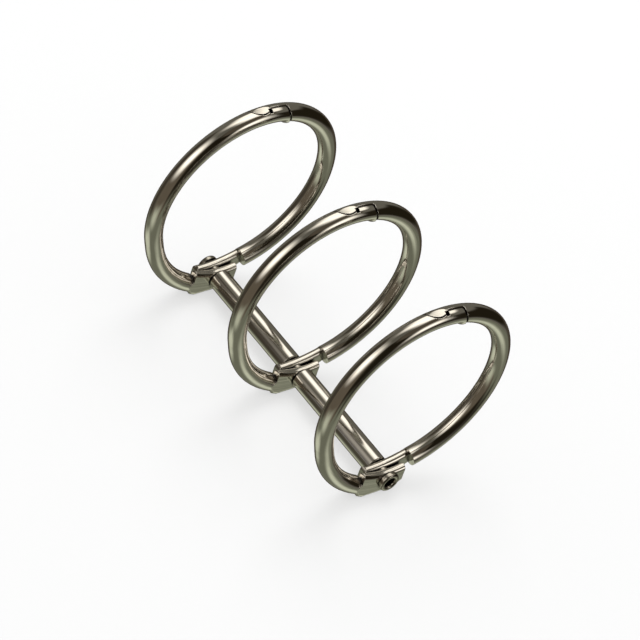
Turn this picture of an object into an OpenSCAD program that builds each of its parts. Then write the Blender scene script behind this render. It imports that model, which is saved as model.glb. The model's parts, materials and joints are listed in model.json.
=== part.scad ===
// Three hinged snap rings of round wire on one hollow rod, for holding punched sheets.
// Every ring is two half rings. Each half ends at the rod in a flat eye pressed from the wire,
// and the two eyes lie side by side, so the pair is no wider than the wire.
// Origin: rod axis at the middle ring. Rod along Y, the rings stand up along Z.
// The left half of a ring is on the -X side, and "front" is the -Y side.

/* [Rings] */
// Inside diameter of a closed ring
ring_inner_d = 30; // [28:0.5:36]
// Diameter of the round wire
wire_d = 3; // [2.8:0.1:3.2]
// Distance from one ring to the next along the rod
ring_pitch = 23.8; // [12:0.1:60]
// How far the rod axis lies outside the circle of the wire's centre
axis_drop = 1.3; // [1.1:0.05:1.5]

/* [Lower wire of the left half] */
// Angle from the bottom of the ring at which the wire leaves the circle
leave_angle = 70; // [66:1:74]
// Radius of the wider bend that follows a short straight run, to the wire's centre
low_bend_r = 20; // [19:0.5:22]
// Angle from straight down at which the bend ends, under the eye
low_bend_end = 24; // [22:1:27]
// Height at which the wire's underside ends there, above the eye's flat bottom
low_wire_up = 0.25; // [0.1:0.05:0.5]

/* [Eyes] */
// Gap between the two eyes of a ring
eye_gap = 0.2; // [0.1:0.05:0.4]
// Depth of an eye below the rod axis
eye_below = 2.6; // [2.3:0.1:3]
// Running clearance of an eye on the pivot, on the radius
eye_clear = 0.05; // [0.02:0.01:0.1]
// Height of the left eye's hollow top edge above the rod axis, at its lowest
left_top = 1.5; // [1.45:0.05:1.9]
// Place along X of the lowest point of that edge
left_top_x = 0.4; // [-1:0.1:1]
// Radius of that hollow edge
left_top_r = 15; // [12:1:25]
// Distance from the rod axis to the left eye's sheared end
left_end = 3.2; // [2.6:0.1:3.6]
// Where the left eye's flat bottom turns up towards that end
left_flat_end = 1.6; // [1:0.1:2]
// Slope of the turned up stretch
left_rise = 30; // [20:1:40]
// Distance from the rod axis to the step where the left eye starts, on the wire's side
left_step = 5.1; // [4.7:0.1:5.5]
// Rounding of the corner of that step
left_corner_r = 0.5; // [0.2:0.1:0.7]
// Height of the right eye's top edge above the rod axis, over the pivot
right_top = 1.75; // [1.6:0.05:2]
// Slope of that edge over the pivot
right_top_slope = 6; // [3:1:9]
// Radius of that edge, which climbs to the wire
right_top_r = 20; // [17:1:24]
// Distance from the rod axis to the right eye's free end
right_end = 3.6; // [3:0.1:3.9]
// Rounding of the corners at that end
right_corner_r = 0.8; // [0.4:0.1:1.2]
// Where the right eye's flat bottom turns up towards the wire
right_flat_end = 1.2; // [0.8:0.1:2]
// Slope of its lower edge from there
right_rise = 33; // [28:1:36]

/* [Shoulders] */
// Distance from the rod axis to the cut across the left wire, beside the right eye
left_shoulder = 4.9; // [4.7:0.1:5.2]
// Angle from the bottom of the ring of the cut across the right wire, beside the left eye
right_shoulder = 16.5; // [15.5:0.5:18]
// How far an eye's flat face runs out along the wire
face_run_out = 2; // [1:0.1:3]

/* [Rod] */
// Outside diameter of the hollow pivot
pivot_od = 2.6; // [2.4:0.1:2.7]
// Bore of the hollow pivot
pivot_bore = 1.9; // [1.4:0.1:2]
// Outside diameter of its rolled lips
lip_od = 3.5; // [3.3:0.1:3.8]
// How far a lip stands out past the end ring
lip_out = 0.8; // [0.6:0.05:1]
// Width of the flat crest of a lip, between its rolled edge and its mouth
lip_crest = 0.1; // [0.05:0.05:0.2]
// Radius with which the bore flares out at its mouth
mouth_flare = 0.35; // [0.2:0.05:0.4]
// Outside diameter of a spacer tube
spacer_od = 3.7; // [3.4:0.1:4.2]
// Clearance of a spacer tube on the pivot, on the radius
spacer_clear = 0.05; // [0.02:0.01:0.1]
// End play between an eye and the spacer or lip beside it
end_play = 0.05; // [0.03:0.01:0.1]
// Chamfer round the ends of a spacer tube
spacer_chamfer = 0.15; // [0.05:0.05:0.3]

/* [Closure] */
// Turn of the seam between the front and the back tongue, from outwards to the front
seam_turn = 6; // [0:1:20]
// Clearance between the two tongues
seam_gap = 0.06; // [0.03:0.01:0.1]
// Width of the groove that the rolled edges leave along the seam
seam_groove_w = 0.45; // [0.1:0.05:0.6]
// Angle from the top of the ring to the slanting end of the front tongue, at the wire's centre
joint_angle = 14.5; // [13:0.5:18]
// Slope of that end from square across the wire
joint_slope = 32; // [25:1:42]
// Gap left open at that end
joint_gap = 0.34; // [0.1:0.02:0.5]
// Rounding of the corners at that end
tongue_corner_r = 0.7; // [0.3:0.1:1]
// How far the heel of the front tongue stands out on the inside of the ring
heel_out = 0.4; // [0.1:0.05:0.5]
// Radius of the rounded heel
heel_r = 1.4; // [1.3:0.05:1.5]
// Angle from the top of the ring to the face with which the back tongue's hook bears
hook_angle = 1.2; // [0.6:0.1:2]
// Gap left open between that face and the front tongue
notch_gap = 0.6; // [0.2:0.05:0.8]
// How far that gap reaches in front of the seam
notch_h = 0.85; // [0.75:0.05:1]
// How far the hook's head reaches in front of the seam
head_h = 0.63; // [0.4:0.01:0.7]
// Radius of the hook's rounded head
head_r = 2.2; // [1.9:0.1:2.6]
// Angle from the top of the ring to the middle of the head
head_angle = 4; // [3:0.5:6]
// Clearance round the head
head_gap = 0.2; // [0.06:0.02:0.3]
// Angle from the top of the ring to the middle of the hollow pressed in the head
hollow_angle = 5; // [4:0.5:7]
// Radius of that hollow
hollow_r = 20; // [8:1:40]
// Depth of that hollow
hollow_depth = 0.12; // [0.06:0.01:0.2]

/* [Hidden] */
$fn = 96;

wire_r = wire_d / 2;
ring_r = ring_inner_d / 2 + wire_r;
ring_h = ring_r + axis_drop;

front = -1;
middle = 0;
back = 1;

eye_t = wire_r - eye_gap / 2;
eye_y = (wire_r + eye_gap / 2) / 2;
hole_r = pivot_od / 2 + eye_clear;

pivot_half = ring_pitch + wire_r + end_play + lip_out;
mouth_r = pivot_bore / 2 + mouth_flare;
spacer_l = ring_pitch - wire_d - 2 * end_play;

// Larger than anything that is cut or kept with it
reach = 4 * ring_r;
// How far a cutting shape runs past the face that it cuts
over = 1;

nickel = [0.72, 0.69, 0.64];
dark_nickel = [0.58, 0.55, 0.5];

// Unit vectors in the plane of a ring: outwards at an angle from +X, and along the wire there
function outward(a) = [cos(a), 0, sin(a)];
function along(a) = [-sin(a), 0, cos(a)];

top = 90;
bottom = 270;
ring_centre = [0, 0, ring_h];

leave_at = bottom - leave_angle;
low_end_h = wire_r * cos(low_bend_end) + low_wire_up - eye_below;
low_bend_h = ring_h + (ring_r - low_bend_r) * sin(leave_at) - low_bend_r * cos(low_bend_end);
leave_run = (low_end_h - low_bend_h) / cos(leave_at);
low_bend_centre = ring_centre + (ring_r - low_bend_r) * outward(leave_at) + leave_run * along(leave_at);

// ---- the wire ----

// Turns a shape drawn round Z so that it lies in the plane of a ring, starting at an angle from +X
module in_ring_plane(centre, start) {
    translate(centre) rotate([90, 0, 0]) rotate([0, 0, start]) children();
}

// A bend of wire from the origin, where it leads along +Y, round a centre on -X
module bend(r, turn) {
    translate([-r, 0]) rotate_extrude(angle = turn) translate([r, 0]) circle(d = wire_d);
}

// The left half's wire, in line from the closure to the eye
module left_wire() {
    in_ring_plane(ring_centre + ring_r * outward(leave_at), leave_at) {
        mirror([0, 1, 0]) bend(ring_r, leave_at - joint_past);
        rotate([-90, 0, 0]) cylinder(d = wire_d, h = leave_run);
        translate([0, leave_run]) bend(low_bend_r, bottom - low_bend_end - leave_at);
    }
}

// The right half's wire, from the tip of the hook to the eye
module right_wire() {
    wire_from = bottom + right_shoulder - 360;
    in_ring_plane(ring_centre + ring_r * outward(wire_from), wire_from) bend(ring_r, tip_at - wire_from);
}

// ---- the flat eyes, drawn in the middle plane of their own thickness ----

// A plate whose lower edge is fully rounded, lies at height z and may turn up at a place along X
module plate_above(z, turn_x, slope) {
    translate([turn_x, 0, z]) rotate([0, -slope, 0]) {
        translate([-reach / 2, -eye_t / 2, eye_t / 2]) cube([reach, eye_t, reach]);
        translate([-reach / 2, 0, eye_t / 2]) rotate([0, 90, 0]) cylinder(d = eye_t, h = reach);
    }
}

// A plate round a centre, whose inner edge is fully rounded and has the radius r
module plate_round(centre, r) {
    in_ring_plane(centre, bottom - 45)
        rotate_extrude(angle = 90) {
            translate([r + eye_t / 2, 0]) circle(d = eye_t);
            translate([r + eye_t / 2, -eye_t / 2]) square([ring_r / 2, eye_t]);
        }
}

// Stands an outline drawn in X and Z up as a plate
module as_plate() {
    rotate([90, 0, 0]) linear_extrude(eye_t, center = true) children();
}

// What a rounded corner takes off, drawn with the corner at the origin and the piece at +X, -Z
module corner_off(r) {
    translate([-over, 0]) square([r + over, over]);
    translate([-over, -r]) square([over, r + over]);
    difference() {
        translate([0, -r]) square(r);
        translate([r, -r]) circle(r);
    }
}

left_corner_z = left_top + left_top_r - sqrt(pow(left_top_r, 2) - pow(left_step + left_top_x, 2));
left_wire_end = low_bend_centre + low_bend_r * outward(bottom - low_bend_end);

module left_outline() {
    face_tip = left_wire_end - face_run_out * along(bottom - low_bend_end);
    difference() {
        polygon([
            [face_tip[0], face_tip[2]],
            [-left_step, face_tip[2] - wire_r],
            [-left_step, -reach],
            [left_end, -reach],
            [left_end, reach],
            [-left_step, reach],
            [-left_step, face_tip[2] + wire_r / 2],
        ]);
        translate([-left_step, left_corner_z]) corner_off(left_corner_r);
    }
}

module left_eye() {
    top_centre = [left_top_x, 0, left_top + left_top_r];
    low_edge = left_wire_end + wire_r * outward(bottom - low_bend_end);
    intersection() {
        as_plate() left_outline();
        plate_round(top_centre, left_top_r);
        plate_above(-eye_below, 0, 0);
        plate_above(-eye_below, left_flat_end, left_rise);
        translate([low_edge[0], 0, low_edge[2]]) plate_above(0, 0, -low_bend_end);
    }
}

module right_outline() {
    shoulder = bottom + right_shoulder;
    face_tip = ring_centre + ring_r * outward(shoulder) + face_run_out * along(shoulder);
    inner = ring_centre + (ring_r - 3 * wire_r) * outward(shoulder);
    outer = ring_centre + (ring_r + 3 * wire_r) * outward(shoulder);
    difference() {
        polygon([
            [face_tip[0], face_tip[2]],
            [inner[0], inner[2]],
            [inner[0], reach],
            [-right_end, reach],
            [-right_end, -reach],
            [outer[0], -reach],
            [outer[0], outer[2]],
        ]);
        translate([-right_end, right_top]) corner_off(right_corner_r);
        translate([-right_end, -eye_below]) mirror([0, 1]) corner_off(right_corner_r);
    }
}

module right_eye() {
    top_centre = [0, 0, right_top] - right_top_r * outward(bottom + right_top_slope);
    intersection() {
        as_plate() right_outline();
        plate_round(top_centre, right_top_r);
        plate_above(-eye_below, 0, 0);
        plate_above(-eye_below, right_flat_end, right_rise);
    }
}

module eye_hole() {
    rotate([90, 0, 0]) cylinder(r = hole_r, h = wire_d + 2 * over, center = true);
}

// ---- the snap closure ----

// The angle that a length takes up along the ring's wire
function turn_of(length) = length / ring_r * 180 / PI;

// The hook's bearing face, the front tongue's face across the gap, and the tip of the hook
hook_at = top + hook_angle;
catch_at = hook_at - turn_of(notch_gap);
tip_at = top + head_angle + turn_of(head_r);
// The slanting end of the front tongue, on the outside of the ring and past the whole of it
joint_at = top - joint_angle;
joint_outside = joint_at + turn_of(wire_r * tan(joint_slope));
joint_past = joint_at - turn_of(wire_d);

// Moves to the wire's centre at an angle, with +Z outwards and +X along the wire to the right
module at_wire(angle) {
    translate(ring_centre + ring_r * outward(angle)) rotate([0, top - angle, 0]) children();
}

// The share of the wire between two angles that lies from low to high past a seam through its
// centre, where low is to the front and high to the back
module share(start, end, low, high) {
    in_ring_plane(ring_centre, start)
        rotate_extrude(angle = end - start)
            translate([ring_r, 0]) rotate(seam_turn - 90)
                translate([low, -wire_d]) square([high - low, 2 * wire_d]);
}

// Moves to the slanting end of the front tongue, with +X through it and +Y to the back
module at_joint() {
    at_wire(joint_at) rotate([seam_turn, 0, 0]) rotate([0, -joint_slope, 0]) children();
}

// Everything to the right of the slanting end
module past_joint(shift) {
    at_joint() translate([shift, -reach / 2, -reach / 2]) cube(reach);
}

// The groove that the rolled edges of both tongues leave on the outside of the ring
module seam_groove() {
    in_ring_plane(ring_centre, joint_outside)
        rotate_extrude(angle = catch_at - joint_outside)
            translate([ring_r, 0]) rotate(seam_turn) translate([wire_r, 0]) rotate(45)
                square(seam_groove_w / sqrt(2), center = true);
}

// The round that the hook's head is cut to, larger by a gap
module head_round(gap) {
    at_wire(top + head_angle) rotate([seam_turn, 0, 0])
        translate([0, head_r - head_h, 0]) cylinder(r = head_r + gap, h = 4 * wire_d, center = true);
}

// What is cut from the left wire to leave a front tongue, with a recess for the hook behind it
module front_tongue_cut() {
    past_joint(-joint_gap);
    at_joint() translate([-joint_gap, -seam_gap, 0])
        linear_extrude(4 * wire_d, center = true) mirror([1, 0]) corner_off(tongue_corner_r);
    share(joint_past - over, hook_at, -seam_gap, wire_d);
    share(catch_at, hook_at, -notch_h, wire_d);
    intersection() {
        share(catch_at, tip_at + over, -wire_d, wire_d);
        head_round(head_gap);
    }
    seam_groove();
}

// What is cut from the right wire to leave a back tongue, with the hook's head at its end
module back_tongue_cut() {
    difference() {
        share(joint_past - over, hook_at, -wire_d, 0);
        past_joint(0);
    }
    difference() {
        share(hook_at, tip_at + over, -wire_d, wire_d);
        head_round(0);
    }
    seam_groove();
    hollow();
}

// The heel on the inside of the front tongue, where it was pressed from the wire
module heel() {
    at_wire(joint_at) translate([0, 0, heel_r - wire_r - heel_out]) sphere(heel_r);
}

// The shallow hollow in the outside of the hook's head
module hollow() {
    at_wire(top + hollow_angle) translate([0, 0, wire_r - hollow_depth + hollow_r])
        rotate([90, 0, 0]) cylinder(r = hollow_r, h = wire_d + 2 * over, center = true);
}

// ---- the pieces ----

module left_half(place) {
    color(nickel) translate([0, place * ring_pitch, 0])
        difference() {
            union() {
                left_wire();
                heel();
                translate([0, -eye_y, 0]) left_eye();
            }
            eye_hole();
            translate([-left_shoulder, -eye_gap / 2, -ring_r]) cube([ring_r, wire_d, 2 * ring_r]);
            front_tongue_cut();
        }
}

module right_half(place) {
    color(nickel) translate([0, place * ring_pitch, 0])
        difference() {
            union() {
                right_wire();
                translate([0, eye_y, 0]) right_eye();
            }
            eye_hole();
            back_tongue_cut();
        }
}

module spacer(place) {
    spacer_ir = pivot_od / 2 + spacer_clear;
    spacer_r = spacer_od / 2;
    color(nickel) translate([0, place * ring_pitch / 2, 0])
        rotate([90, 0, 0])
            rotate_extrude() polygon([
                [spacer_ir, -spacer_l / 2],
                [spacer_r - spacer_chamfer, -spacer_l / 2],
                [spacer_r, -spacer_l / 2 + spacer_chamfer],
                [spacer_r, spacer_l / 2 - spacer_chamfer],
                [spacer_r - spacer_chamfer, spacer_l / 2],
                [spacer_ir, spacer_l / 2],
            ]);
}

module pivot() {
    color(dark_nickel)
        rotate([90, 0, 0]) difference() {
            union() {
                cylinder(d = pivot_od, h = 2 * pivot_half - lip_out, center = true);
                for (side = [-1, 1])
                    mirror([0, 0, side < 0 ? 1 : 0]) lip();
            }
            cylinder(d = pivot_bore, h = 2 * pivot_half + 2 * over, center = true);
            for (side = [-1, 1])
                mirror([0, 0, side < 0 ? 1 : 0]) mouth();
        }
}

// The rolled lip at the +Z end of a rod that lies along Z
module lip() {
    lip_r = lip_od / 2;
    lip_round = lip_r - lip_crest - mouth_r;
    translate([0, 0, pivot_half - lip_out])
        rotate_extrude() {
            square([lip_r - lip_round, lip_out]);
            square([lip_r, lip_out - lip_round]);
            translate([lip_r - lip_round, lip_out - lip_round]) circle(r = lip_round);
        }
}

module mouth() {
    translate([0, 0, pivot_half])
        rotate_extrude() difference() {
            translate([0, -mouth_flare]) square([mouth_r, mouth_flare + over]);
            translate([mouth_r, -mouth_flare]) circle(r = mouth_flare);
        }
}

pivot();
spacer(front);  // front_spacer
spacer(back);  // back_spacer
left_half(front);  // front_left_half
left_half(middle);  // middle_left_half
left_half(back);  // back_left_half
right_half(front);  // front_right_half
right_half(middle);  // middle_right_half
right_half(back);  // back_right_half
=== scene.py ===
import json
import math

import bmesh
import bpy
from mathutils import Matrix, Vector


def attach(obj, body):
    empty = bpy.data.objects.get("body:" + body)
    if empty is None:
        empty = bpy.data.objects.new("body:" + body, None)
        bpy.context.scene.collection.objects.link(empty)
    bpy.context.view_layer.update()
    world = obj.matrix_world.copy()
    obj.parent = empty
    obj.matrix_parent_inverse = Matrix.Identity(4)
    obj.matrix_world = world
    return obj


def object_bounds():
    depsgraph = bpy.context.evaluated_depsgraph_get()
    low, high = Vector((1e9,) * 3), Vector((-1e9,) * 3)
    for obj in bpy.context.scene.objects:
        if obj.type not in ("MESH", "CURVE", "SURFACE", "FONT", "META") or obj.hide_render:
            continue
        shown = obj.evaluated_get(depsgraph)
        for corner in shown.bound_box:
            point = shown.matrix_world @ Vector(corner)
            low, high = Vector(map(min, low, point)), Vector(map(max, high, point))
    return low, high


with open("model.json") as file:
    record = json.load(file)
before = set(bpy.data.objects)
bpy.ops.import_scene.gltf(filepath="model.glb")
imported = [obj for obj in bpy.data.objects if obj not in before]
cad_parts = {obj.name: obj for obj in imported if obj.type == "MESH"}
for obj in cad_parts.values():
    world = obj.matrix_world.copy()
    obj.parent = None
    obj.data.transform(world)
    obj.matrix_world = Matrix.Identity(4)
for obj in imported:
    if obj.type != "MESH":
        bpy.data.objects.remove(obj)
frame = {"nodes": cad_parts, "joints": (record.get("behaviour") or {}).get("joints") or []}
CAD_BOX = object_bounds()
NODES = frame["nodes"]

# ---- the part's own sizes, in metres ----

RING_RADIUS = 0.0165  # to the wire's centre
RING_HEIGHT = 0.0178  # of a ring's centre above the rod
WIRE_RADIUS = 0.0015

# ---- the camera, in degrees and metres ----

VIEW_AZIMUTH = -49.05  # from the front, -Y, towards +X
VIEW_ELEVATION = 41.0
VIEW_ROLL = 20.05
CAMERA_DISTANCE = 0.632
AIM = Vector((0.0, 0.0, 0.0145))
AIM_DROP = 0.0022  # leaves room in the picture for a ring that hangs down
FRAME_WIDTH = 0.100  # what the picture takes in at the aim
SENSOR = 36.0
CLIP = (0.01, 10.0)

# ---- the plated finishes ----

NICKEL = (0.72, 0.69, 0.64)
# A nickel colour darker than the rings', used on the rolled pivot
DARKER_NICKEL = (0.46, 0.43, 0.38)
WIRE_ROUGHNESS = 0.07
TUBE_ROUGHNESS = 0.08
PIVOT_ROUGHNESS = 0.2

# The plate's colour and roughness cloud between these shares of themselves
CLOUDY_TINT = (0.93, 1.05)
CLOUDY_ROUGHNESS = (0.8, 1.25)

# Stretch along the metal, scale and detail of each pattern, and how deep the lines go
FINE_LINES = (60.0, 9000.0, 3.0)
STREAKS = (30.0, 1300.0, 2.0)
CLOUDS = (1.0, 700.0, 4.0)
FINE_LINE_DEPTH = 0.0000012
STREAK_DEPTH = 0.00003

# A sharp edge catches light over this radius, and shade is painted into a crevice within this
# depth
EDGE_RADIUS = 0.00012
EDGE_SAMPLES = 6
CREVICE_DEPTH = 0.0008
CREVICE_SAMPLES = 8
CREVICE_OPEN = (0.35, 0.85)  # openness at which it is darkest, and at which it is clear
# Painted shade: the share of the plate's colour that is left in the darkest crevice
CREVICE_SHADE_SHARE = 0.18

# A Mix node has inputs and outputs for each kind of value; these are its colours
MIX_COLOURS = (6, 7)
MIX_RESULT = 2

# ---- the stage ----

FLOOR_HALF_WIDTH = 2.0
FLOOR_PAPER = (0.92, 0.92, 0.92, 1.0)
FLOOR_CLEAR = 0.6  # share that lets the white behind it through
FLOOR_FADE = (0.08, 0.35)  # distances between which the rest of it fades out
LAMP_PLACE = Vector((0.25, 0.35, 0.8))
LAMP_SIZE = 0.6
LAMP_POWER = 3.3
WHITE = (1.0, 1.0, 1.0, 1.0)
WORLD_LIGHT = 0.75

# What the metal sees round it
TABLE = (0.175, 0.182, 0.135)
LIGHT_TABLE = (0.5, 0.525, 0.41)
BLACK = (0.014, 0.011, 0.006)
BROWN = (0.072, 0.06, 0.044)
GREY = (0.15, 0.142, 0.118)
CREAM = (1.0, 0.955, 0.86)

# Name, azimuth from +X towards +Y, elevation, width and height, all four in degrees as seen from
# the object, colour, strength, share over which the edges fade, distance
CARDS = (
    ("table_card", 0, -90, 170, 170, TABLE, 1.0, 0.1, 2.0),
    ("front_table_card", -42, -58, 60, 40, LIGHT_TABLE, 1.3, 0.9, 1.6),
    ("front_low_card", -74, -28, 34, 26, BLACK, 1.0, 0.8, 1.5),
    ("left_table_card", -160, -38, 70, 36, LIGHT_TABLE, 1.1, 0.9, 1.6),
    ("back_table_card", 145, -64, 60, 36, LIGHT_TABLE, 1.3, 0.8, 1.6),
    ("right_table_card", 41, -35, 100, 64, BROWN, 1.0, 0.3, 1.8),
    ("front_wall_card", -40, 16, 130, 100, GREY, 1.0, 0.2, 1.9),
    ("front_card", -24, 0, 94, 56, BLACK, 1.2, 0.4, 1.6),
    ("front_top_card", -72, 48, 60, 50, BROWN, 1.2, 0.4, 1.5),
    ("camera_card", -100, 24, 72, 120, BLACK, 1.0, 0.6, 1.6),
    ("right_card", 60, 16, 110, 100, GREY, 1.0, 0.2, 1.7),
    ("back_card", 130, 10, 60, 108, BROWN, 0.8, 0.4, 1.6),
    ("left_card", -155, 5, 110, 110, BROWN, 1.8, 0.2, 1.9),
    ("left_top_card", -150, 72, 90, 46, GREY, 0.8, 0.4, 1.7),
    ("back_top_card", 150, 66, 80, 40, GREY, 1.1, 0.4, 1.7),
    ("top_box", 30, 76, 70, 56, CREAM, 1.73, 0.8, 1.0),
    ("right_box", 62, 55, 46, 42, CREAM, 1.61, 0.8, 1.0),
    ("right_top_box", 4, 58, 56, 32, CREAM, 1.47, 0.4, 1.0),
    ("left_box", -178, 34, 74, 64, CREAM, 1.97, 0.95, 1.0),
    ("front_box", -66, 13, 36, 44, CREAM, 1.73, 0.9, 1.0),
)


def link(thing):
    """Puts a new object in the scene."""
    bpy.context.scene.collection.objects.link(thing)
    return thing


def aimed(place):
    """The matrix of a card or lamp at a place, with its -Z side turned to the object."""
    turn = (AIM - place).to_track_quat("-Z", "Y")
    return Matrix.Translation(place) @ turn.to_matrix().to_4x4()


# ---- the camera ----

def view_axes():
    """The camera's right, up and backwards directions."""
    azimuth = math.radians(VIEW_AZIMUTH)
    elevation = math.radians(VIEW_ELEVATION)
    roll = math.radians(VIEW_ROLL)
    out = Vector((math.sin(azimuth), -math.cos(azimuth), 0.0))
    backwards = out * math.cos(elevation) + Vector((0.0, 0.0, math.sin(elevation)))
    level = Vector((math.cos(azimuth), math.sin(azimuth), 0.0))
    upright = backwards.cross(level)
    right = level * math.cos(roll) + upright * math.sin(roll)
    up = upright * math.cos(roll) - level * math.sin(roll)
    return right, up, backwards


def make_camera():
    right, up, backwards = view_axes()
    data = bpy.data.cameras.new("camera")
    data.sensor_width = SENSOR
    data.lens = SENSOR * CAMERA_DISTANCE / FRAME_WIDTH
    data.clip_start, data.clip_end = CLIP
    camera = link(bpy.data.objects.new("camera", data))
    turn = Matrix((right, up, backwards)).transposed().to_4x4()
    place = AIM - up * AIM_DROP + backwards * CAMERA_DISTANCE
    camera.matrix_world = Matrix.Translation(place) @ turn
    bpy.context.scene.camera = camera


# ---- material nodes ----

def new_material(name):
    """An empty material, with its nodes and links."""
    material = bpy.data.materials.new(name)
    material.use_nodes = True
    nodes = material.node_tree.nodes
    nodes.clear()
    return material, nodes, material.node_tree.links


def maths(nodes, links, operation, *values):
    """A Math node of these inputs, which are numbers or sockets; its output socket."""
    node = nodes.new("ShaderNodeMath")
    node.operation = operation
    for slot, value in zip(node.inputs, values):
        if isinstance(value, (int, float)):
            slot.default_value = value
        else:
            links.new(value, slot)
    return node.outputs[0]


def span(nodes, links, value, to, given=(0.0, 1.0), smooth=False):
    """Maps the given span of a value to another span; the output socket."""
    node = nodes.new("ShaderNodeMapRange")
    if smooth:
        node.interpolation_type = "SMOOTHSTEP"
    for slot, number in zip(("From Min", "From Max", "To Min", "To Max"), (*given, *to)):
        node.inputs[slot].default_value = number
    links.new(value, node.inputs["Value"])
    return node.outputs[0]


def object_place(nodes, links):
    """The three parts of the Object coordinates."""
    place = nodes.new("ShaderNodeTexCoord")
    split = nodes.new("ShaderNodeSeparateXYZ")
    links.new(place.outputs["Object"], split.inputs[0])
    return split.outputs


def joined(nodes, links, *values):
    """Three values as one vector."""
    join = nodes.new("ShaderNodeCombineXYZ")
    for slot, value in zip(join.inputs, values):
        links.new(value, slot)
    return join.outputs[0]


def mixed(nodes, links, share, first, second):
    """Two shaders mixed by the share of the second."""
    mix = nodes.new("ShaderNodeMixShader")
    links.new(share, mix.inputs[0])
    links.new(first.outputs[0], mix.inputs[1])
    links.new(second.outputs[0], mix.inputs[2])
    return mix


# ---- the plated finishes ----

def along_wire(nodes, links):
    """Place unrolled along a ring's wire: out from the ring's centre, across, and along."""
    x, y, height = object_place(nodes, links)
    z = maths(nodes, links, "SUBTRACT", height, RING_HEIGHT)
    squares = (maths(nodes, links, "MULTIPLY", part, part) for part in (x, z))
    out = maths(nodes, links, "SQRT", maths(nodes, links, "ADD", *squares))
    turn = maths(nodes, links, "ARCTAN2", x, z)
    along = maths(nodes, links, "MULTIPLY", turn, RING_RADIUS)
    return joined(nodes, links, out, y, along)


def along_rod(nodes, links):
    """Place in the same order for a tube along Y: out, across, along."""
    x, y, z = object_place(nodes, links)
    return joined(nodes, links, x, z, y)


def pattern(nodes, links, vector, stretch, scale, detail):
    """Noise on a vector whose third part, which runs along the metal, is stretched."""
    mapping = nodes.new("ShaderNodeMapping")
    mapping.inputs["Scale"].default_value = (1.0, 1.0, 1.0 / stretch)
    links.new(vector, mapping.inputs["Vector"])
    texture = nodes.new("ShaderNodeTexNoise")
    texture.inputs["Scale"].default_value = scale
    texture.inputs["Detail"].default_value = detail
    links.new(mapping.outputs[0], texture.inputs["Vector"])
    return texture.outputs["Fac"]


def tinted(nodes, links, share, first, second):
    """Two colours mixed by the share of the second; each is a colour or a socket."""
    mix = nodes.new("ShaderNodeMix")
    mix.data_type = "RGBA"
    links.new(share, mix.inputs["Factor"])
    for number, colour in zip(MIX_COLOURS, (first, second)):
        if isinstance(colour, tuple):
            mix.inputs[number].default_value = (*colour, 1.0)
        else:
            links.new(colour, mix.inputs[number])
    return mix.outputs[MIX_RESULT]


def plated(name, colour, roughness, place):
    """Bright nickel plate over drawn steel: faint streaks along it, soft edges, and shade painted
    darker into its crevices.
    """
    material, nodes, links = new_material(name)
    out = nodes.new("ShaderNodeOutputMaterial")
    metal = nodes.new("ShaderNodeBsdfPrincipled")
    metal.inputs["Metallic"].default_value = 1.0
    vector = place(nodes, links)
    lines = pattern(nodes, links, vector, *FINE_LINES)
    streaks = pattern(nodes, links, vector, *STREAKS)
    clouds = pattern(nodes, links, vector, *CLOUDS)

    # Painted shade: the base colour goes darker where other surfaces close in round the metal,
    # where shade falls
    crevice = nodes.new("ShaderNodeAmbientOcclusion")
    crevice.samples = CREVICE_SAMPLES
    crevice.inputs["Distance"].default_value = CREVICE_DEPTH
    openness = span(nodes, links, crevice.outputs["AO"], (0.0, 1.0), CREVICE_OPEN, smooth=True)
    darker, lighter = (tuple(c * share for c in colour) for share in CLOUDY_TINT)
    plate = tinted(nodes, links, clouds, darker, lighter)
    painted_shade_colour = tuple(c * CREVICE_SHADE_SHARE for c in colour)
    shade_painted_plate = tinted(nodes, links, openness, painted_shade_colour, plate)
    links.new(shade_painted_plate, metal.inputs["Base Color"])
    dullness = span(nodes, links, clouds, tuple(roughness * share for share in CLOUDY_ROUGHNESS))
    links.new(dullness, metal.inputs["Roughness"])

    edge = nodes.new("ShaderNodeBevel")
    edge.samples = EDGE_SAMPLES
    edge.inputs["Radius"].default_value = EDGE_RADIUS
    normal = edge.outputs[0]
    for height, depth in ((streaks, STREAK_DEPTH), (lines, FINE_LINE_DEPTH)):
        bump = nodes.new("ShaderNodeBump")
        bump.inputs["Strength"].default_value = 1.0
        bump.inputs["Distance"].default_value = depth
        links.new(height, bump.inputs["Height"])
        links.new(normal, bump.inputs["Normal"])
        normal = bump.outputs[0]
    links.new(normal, metal.inputs["Normal"])
    links.new(metal.outputs[0], out.inputs["Surface"])
    return material


def plate_parts():
    """Gives every node of the part its finish."""
    wire = plated("plated_wire_finish", NICKEL, WIRE_ROUGHNESS, along_wire)
    tube = plated("plated_tube_finish", NICKEL, TUBE_ROUGHNESS, along_rod)
    pivot = plated("rolled_pivot_finish", DARKER_NICKEL, PIVOT_ROUGHNESS, along_rod)
    rod = {"pivot": pivot, "front_spacer": tube, "back_spacer": tube}
    for name, node in NODES.items():
        for slot in node.material_slots:
            slot.material = rod.get(name, wire)


# ---- the stage ----

def flat_sheet(name, half_width, half_height):
    """A flat square-cornered sheet about the origin."""
    shape = bmesh.new()
    bmesh.ops.create_grid(shape, x_segments=1, y_segments=1, size=1.0)
    bmesh.ops.scale(shape, vec=(half_width, half_height, 1.0), verts=shape.verts)
    mesh = bpy.data.meshes.new(name)
    shape.to_mesh(mesh)
    shape.free()
    return link(bpy.data.objects.new(name, mesh))


def keep_floor_below(floor, body, y):
    """The floor drops out of the way of a ring half that is turned to hang down."""
    centre = link(bpy.data.objects.new(f"{body}_centre", None))
    centre.location = (0.0, y, RING_HEIGHT)
    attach(centre, body)
    limit = floor.constraints.new("FLOOR")
    limit.target = centre
    limit.floor_location = "FLOOR_NEGATIVE_Z"
    limit.offset = -(RING_RADIUS + WIRE_RADIUS)


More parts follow.
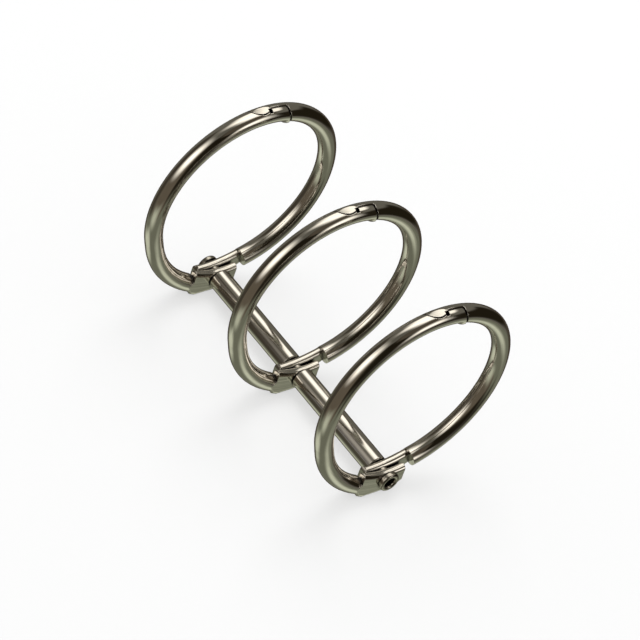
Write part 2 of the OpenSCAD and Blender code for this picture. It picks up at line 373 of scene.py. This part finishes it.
def floor_paper():
    """Paper that lets the white behind it through, more of it further out."""
    material, nodes, links = new_material("floor_paper")
    out = nodes.new("ShaderNodeOutputMaterial")
    paper = nodes.new("ShaderNodeBsdfDiffuse")
    paper.inputs["Color"].default_value = FLOOR_PAPER
    clear = nodes.new("ShaderNodeBsdfTransparent")
    place = nodes.new("ShaderNodeTexCoord")
    reach = nodes.new("ShaderNodeVectorMath")
    reach.operation = "LENGTH"
    links.new(place.outputs["Object"], reach.inputs[0])
    share = span(nodes, links, reach.outputs["Value"], (FLOOR_CLEAR, 1.0), FLOOR_FADE, smooth=True)
    links.new(mixed(nodes, links, share, paper, clear).outputs[0], out.inputs["Surface"])
    return material


def make_floor():
    """A pale floor, on which the eyes stand at rest."""
    floor = flat_sheet("floor", FLOOR_HALF_WIDTH, FLOOR_HALF_WIDTH)
    floor.location.z = CAD_BOX[0][2]
    for joint in frame["joints"]:
        keep_floor_below(floor, joint["child"], joint["pos_m"][1])
    floor.data.materials.append(floor_paper())
    floor.visible_glossy = False


def card_glow(name, half_sizes, colour, strength, fade):
    """Plain light whose edges fade out over a share of the card."""
    material, nodes, links = new_material(name)
    out = nodes.new("ShaderNodeOutputMaterial")
    x, y, _ = object_place(nodes, links)
    shares = []
    for place, half in zip((x, y), half_sizes):
        reach = maths(nodes, links, "DIVIDE", maths(nodes, links, "ABSOLUTE", place), half)
        shares.append(span(nodes, links, reach, (0.0, 1.0), (1.0, 1.0 - fade), smooth=True))
    glow = nodes.new("ShaderNodeEmission")
    glow.inputs["Color"].default_value = (*colour, 1.0)
    glow.inputs["Strength"].default_value = strength
    clear = nodes.new("ShaderNodeBsdfTransparent")
    share = maths(nodes, links, "MULTIPLY", *shares)
    links.new(mixed(nodes, links, share, clear, glow).outputs[0], out.inputs["Surface"])
    return material


def make_card(name, azimuth, elevation, width, height, colour, strength, fade, distance):
    """A card that faces the object and that only the metal sees."""
    azimuth, elevation = math.radians(azimuth), math.radians(elevation)
    level = Vector((math.cos(azimuth), math.sin(azimuth), 0.0))
    out = level * math.cos(elevation) + Vector((0.0, 0.0, math.sin(elevation)))
    half_sizes = [distance * math.tan(math.radians(angle / 2)) for angle in (width, height)]
    card = flat_sheet(name, *half_sizes)
    card.matrix_world = aimed(AIM + out * distance)
    card.data.materials.append(card_glow(name, half_sizes, colour, strength, fade))
    card.visible_camera = False
    card.visible_diffuse = False
    card.visible_transmission = False
    card.visible_shadow = False


def make_lamp():
    """One soft lamp, which casts the shadow on the floor."""
    data = bpy.data.lights.new("key", "AREA")
    data.shape = "RECTANGLE"
    data.size = data.size_y = LAMP_SIZE
    data.energy = LAMP_POWER
    lamp = link(bpy.data.objects.new("key", data))
    lamp.matrix_world = aimed(LAMP_PLACE)
    lamp.visible_glossy = False


def make_world():
    """White to the eye and in the metal, and a little less as light."""
    world = bpy.data.worlds.new("studio")
    bpy.context.scene.world = world
    world.use_nodes = True
    nodes, links = world.node_tree.nodes, world.node_tree.links
    nodes.clear()
    out = nodes.new("ShaderNodeOutputWorld")
    shown = nodes.new("ShaderNodeBackground")
    lit = nodes.new("ShaderNodeBackground")
    for background, strength in ((shown, 1.0), (lit, WORLD_LIGHT)):
        background.inputs["Color"].default_value = WHITE
        background.inputs["Strength"].default_value = strength
    path = nodes.new("ShaderNodeLightPath")
    seen = maths(nodes, links, "MAXIMUM",
                 path.outputs["Is Camera Ray"], path.outputs["Is Glossy Ray"])
    seen = maths(nodes, links, "MAXIMUM", seen, path.outputs["Is Transmission Ray"])
    links.new(mixed(nodes, links, seen, lit, shown).outputs[0], out.inputs["Surface"])


bpy.context.scene.view_settings.view_transform = "Standard"
plate_parts()
make_floor()
make_world()
for card in CARDS:
    make_card(*card)
make_lamp()
make_camera()
